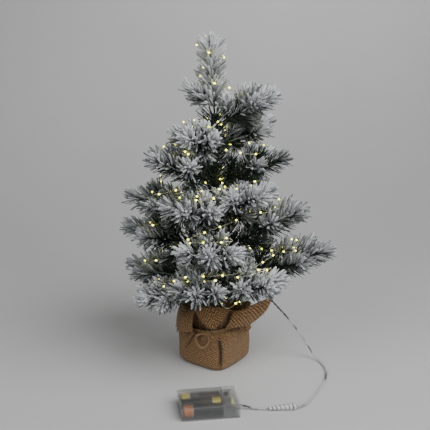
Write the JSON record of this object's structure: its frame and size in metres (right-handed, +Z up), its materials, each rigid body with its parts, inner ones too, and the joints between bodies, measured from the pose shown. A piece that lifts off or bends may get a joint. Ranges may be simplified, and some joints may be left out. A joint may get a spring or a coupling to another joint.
{
  "type": "artificial tabletop tree",
  "caption": "Snow-flocked tabletop tree with bendable boughs on a taped trunk, a burlap-wrapped weighted base, and micro lights run from a clear battery box.",
  "frame": {"origin": "middle of the base's underside, on the surface that the tree stands on", "axes": "+Z up the trunk, -Y the front, where the battery box lies, +X the side where the lead comes down"},
  "size_m": [0.2742, 0.303, 0.4504],
  "materials": {
    "needles": "matte",
    "stem_wire": "satin",
    "trunk_tape": "matte",
    "cement": "matte",
    "burlap": "matte",
    "twine": "matte",
    "box_plastic": "gloss",
    "cell_copper_top": "gloss",
    "cell_gold_top": "gloss",
    "contact": "polished",
    "switch_plastic": "matte",
    "light_wire": "gloss",
    "lead_plastic": "gloss",
    "sleeve_plastic": "gloss"
  },
  "bodies": {
    "root": {"battery_tray": "box_plastic", "burlap_wrap": "burlap", "cell_front": "cell_copper_top", "cell_middle": "cell_gold_top", "cell_rear": "cell_gold_top", "cement_weight": "cement", "contact_link_left": "contact", "contact_link_right": "contact", "contact_negative": "contact", "contact_positive": "contact", "lead_box_side": "lead_plastic", "lead_tree_side": "lead_plastic", "light_wire": "light_wire", "splice_sleeve": "sleeve_plastic", "trunk": "trunk_tape", "twine_tie": "twine"},
    "bough_01": {"bough_01_wire": "stem_wire", "bough_01_needles": "needles"},
    "bough_02": {"bough_02_wire": "stem_wire", "bough_02_needles": "needles"},
    "bough_03": {"bough_03_wire": "stem_wire", "bough_03_needles": "needles"},
    "bough_04": {"bough_04_wire": "stem_wire", "bough_04_needles": "needles"},
    "bough_05": {"bough_05_wire": "stem_wire", "bough_05_needles": "needles"},
    "bough_06": {"bough_06_wire": "stem_wire", "bough_06_needles": "needles"},
    "bough_07": {"bough_07_wire": "stem_wire", "bough_07_needles": "needles"},
    "bough_08": {"bough_08_wire": "stem_wire", "bough_08_needles": "needles"},
    "bough_09": {"bough_09_wire": "stem_wire", "bough_09_needles": "needles"},
    "bough_10": {"bough_10_wire": "stem_wire", "bough_10_needles": "needles"},
    "bough_11": {"bough_11_wire": "stem_wire", "bough_11_needles": "needles"},
    "bough_12": {"bough_12_wire": "stem_wire", "bough_12_needles": "needles"},
    "bough_13": {"bough_13_wire": "stem_wire", "bough_13_needles": "needles"},
    "bough_14": {"bough_14_wire": "stem_wire", "bough_14_needles": "needles"},
    "bough_15": {"bough_15_wire": "stem_wire", "bough_15_needles": "needles"},
    "bough_16": {"bough_16_wire": "stem_wire", "bough_16_needles": "needles"},
    "bough_17": {"bough_17_wire": "stem_wire", "bough_17_needles": "needles"},
    "bough_18": {"bough_18_wire": "stem_wire", "bough_18_needles": "needles"},
    "bough_19": {"bough_19_wire": "stem_wire", "bough_19_needles": "needles"},
    "bough_20": {"bough_20_wire": "stem_wire", "bough_20_needles": "needles"},
    "leader": {"leader_wire": "stem_wire", "leader_needles": "needles"},
    "battery_lid": {"battery_lid": "box_plastic"},
    "switch_knob": {"switch_knob": "switch_plastic"}
  },
  "joints": [
    {"name": "bough_01_bend", "type": "hinge", "parent": "root", "child": "bough_01", "pos_m": [0.00591, -0.00104, 0.108], "axis": [-0.1736, -0.9848, 0], "range_deg": [-18, 16], "deforming": ["light_wire"]},
    {"name": "bough_02_bend", "type": "hinge", "parent": "root", "child": "bough_02", "pos_m": [0.00353, -0.00485, 0.104], "axis": [-0.809, -0.5878, 0], "range_deg": [-24, 12], "deforming": ["light_wire"]},
    {"name": "bough_03_bend", "type": "hinge", "parent": "root", "child": "bough_03", "pos_m": [-0.00135, -0.00585, 0.106], "axis": [-0.9744, 0.225, 0], "range_deg": [-22, 15], "deforming": ["light_wire"]},
    {"name": "bough_04_bend", "type": "hinge", "parent": "root", "child": "bough_04", "pos_m": [-0.00509, -0.00318, 0.104], "axis": [-0.5299, 0.848, 0], "range_deg": [-15, 25], "deforming": ["light_wire"]},
    {"name": "bough_05_bend", "type": "hinge", "parent": "root", "child": "bough_05", "pos_m": [-0.00571, 0.00185, 0.108], "axis": [0.309, 0.9511, 0], "range_deg": [-20, 20], "deforming": ["light_wire"]},
    {"name": "bough_06_bend", "type": "hinge", "parent": "root", "child": "bough_06", "pos_m": [0.00125, 0.00587, 0.104], "axis": [0.9781, -0.2079, 0], "range_deg": [-18, 22], "deforming": ["light_wire"]},
    {"name": "bough_07_bend", "type": "hinge", "parent": "root", "child": "bough_07", "pos_m": [0.00564, -0.00205, 0.156], "axis": [-0.342, -0.9397, 0], "range_deg": [-16, 8], "deforming": ["light_wire"]},
    {"name": "bough_08_bend", "type": "hinge", "parent": "root", "child": "bough_08", "pos_m": [-0.00042, -0.00599, 0.156], "axis": [-0.9976, 0.0698, 0], "range_deg": [-15, 16], "deforming": ["light_wire"]},
    {"name": "bough_09_bend", "type": "hinge", "parent": "root", "child": "bough_09", "pos_m": [-0.00597, 0.00063, 0.156], "axis": [0.1045, 0.9945, 0], "range_deg": [-20, 12], "deforming": ["light_wire"]},
    {"name": "bough_10_bend", "type": "hinge", "parent": "root", "child": "bough_10", "pos_m": [0.00084, 0.00594, 0.156], "axis": [0.9903, -0.1392, 0], "range_deg": [-24, 16], "deforming": ["light_wire"]},
    {"name": "bough_11_bend", "type": "hinge", "parent": "root", "child": "bough_11", "pos_m": [0.00386, -0.0046, 0.204], "axis": [-0.766, -0.6428, 0], "range_deg": [-12, 8], "deforming": ["light_wire"]},
    {"name": "bough_12_bend", "type": "hinge", "parent": "root", "child": "bough_12", "pos_m": [-0.00244, -0.00548, 0.204], "axis": [-0.9135, 0.4067, 0], "range_deg": [-18, 10], "deforming": ["light_wire"]},
    {"name": "bough_13_bend", "type": "hinge", "parent": "root", "child": "bough_13", "pos_m": [-0.006, 0.00021, 0.204], "axis": [0.0349, 0.9994, 0], "range_deg": [-12, 22], "deforming": ["light_wire"]},
    {"name": "bough_14_bend", "type": "hinge", "parent": "root", "child": "bough_14", "pos_m": [0.00205, 0.00564, 0.204], "axis": [0.9397, -0.342, 0], "range_deg": [-18, 16], "deforming": ["light_wire"]},
    {"name": "bough_15_bend", "type": "hinge", "parent": "root", "child": "bough_15", "pos_m": [0.00582, -0.00145, 0.252], "axis": [-0.2419, -0.9703, 0], "range_deg": [-12, 12], "deforming": ["light_wire"]},
    {"name": "bough_16_bend", "type": "hinge", "parent": "root", "child": "bough_16", "pos_m": [-0.00473, -0.00369, 0.252], "axis": [-0.6157, 0.788, 0], "range_deg": [-20, 10], "deforming": ["light_wire"]},
    {"name": "bough_17_bend", "type": "hinge", "parent": "root", "child": "bough_17", "pos_m": [-0.00185, 0.00571, 0.252], "axis": [0.9511, 0.309, 0], "range_deg": [-22, 18], "deforming": ["light_wire"]},
    {"name": "bough_18_bend", "type": "hinge", "parent": "root", "child": "bough_18", "pos_m": [-0.00282, -0.0053, 0.298], "axis": [-0.8829, 0.4695, 0], "range_deg": [-8, 25], "deforming": ["light_wire"]},
    {"name": "bough_19_bend", "type": "hinge", "parent": "root", "child": "bough_19", "pos_m": [0.00509, 0.00318, 0.298], "axis": [0.5299, -0.848, 0], "range_deg": [-14, 16], "deforming": ["light_wire"]},
    {"name": "bough_20_bend", "type": "hinge", "parent": "root", "child": "bough_20", "pos_m": [0.00577, -0.00165, 0.33], "axis": [-0.2756, -0.9613, 0], "range_deg": [-20, 14], "deforming": ["light_wire"]},
    {"name": "leader_bend", "type": "hinge", "parent": "root", "child": "leader", "pos_m": [0, 0, 0.3435], "axis": [0, 1, 0], "range_deg": [-20, 12], "deforming": ["light_wire"]},
    {"name": "battery_lid_slide", "type": "slide", "parent": "root", "child": "battery_lid", "axis": [-0.989, -0.1478, 0], "range_m": [0, 0.057]},
    {"name": "switch_slide", "type": "slide", "parent": "root", "child": "switch_knob", "axis": [0.989, 0.1478, 0], "range_m": [0, 0.003]}
  ]
}
